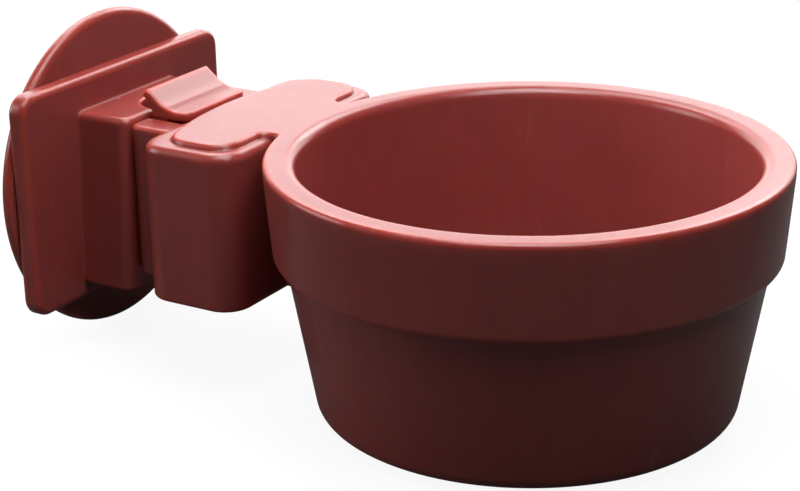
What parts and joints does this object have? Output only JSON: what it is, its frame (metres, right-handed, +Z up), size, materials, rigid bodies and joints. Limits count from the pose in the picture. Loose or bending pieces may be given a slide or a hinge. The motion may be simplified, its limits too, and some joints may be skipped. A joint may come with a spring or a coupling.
{
  "type": "seed cup",
  "caption": "Round plastic cage cup with a thick rim band, sliding on a T-rail bracket with a thumb latch and a plate that a disc and a wing nut clamp onto cage wires.",
  "frame": {"origin": "middle of the mounting plate's back face, on the clamp stud's axis", "axes": "+Z up, +Y through the cage wires towards the clamp disc, +X to the left seen from the clamp; the bowl is at -Y"},
  "size_m": [0.105, 0.1747, 0.0716],
  "materials": {
    "red_plastic": "satin"
  },
  "bodies": {
    "mount": {"mounting_plate": "red_plastic", "clamp_stud": "red_plastic"},
    "cup": {"cup": "red_plastic"},
    "thumb_latch": {"thumb_latch": "red_plastic"},
    "clamp_disc": {"clamp_disc": "red_plastic"},
    "wing_nut": {"wing_nut": "red_plastic"}
  },
  "joints": [
    {"name": "cup_lift", "type": "slide", "parent": "mount", "child": "cup", "axis": [0, 0, 1], "range_m": [0, 0.036]},
    {"name": "latch_press", "type": "hinge", "parent": "mount", "child": "thumb_latch", "pos_m": [0, -0.0206, -0.009], "axis": [-1, 0, 0], "range_deg": [0, 4], "stiffness_Nm_per_rad": 1.7},
    {"name": "clamp_travel", "type": "slide", "parent": "mount", "child": "clamp_disc", "axis": [0, 1, 0], "range_m": [0, 0.006]},
    {"name": "nut_turn", "type": "hinge", "parent": "clamp_disc", "child": "wing_nut", "pos_m": [0, 0.0095, 0], "axis": [0, 1, 0], "range_deg": [0, 720]}
  ],
  "couplings": [
    {"joint": "nut_turn", "follows": "clamp_travel", "rad_per_m": 2094.4}
  ]
}
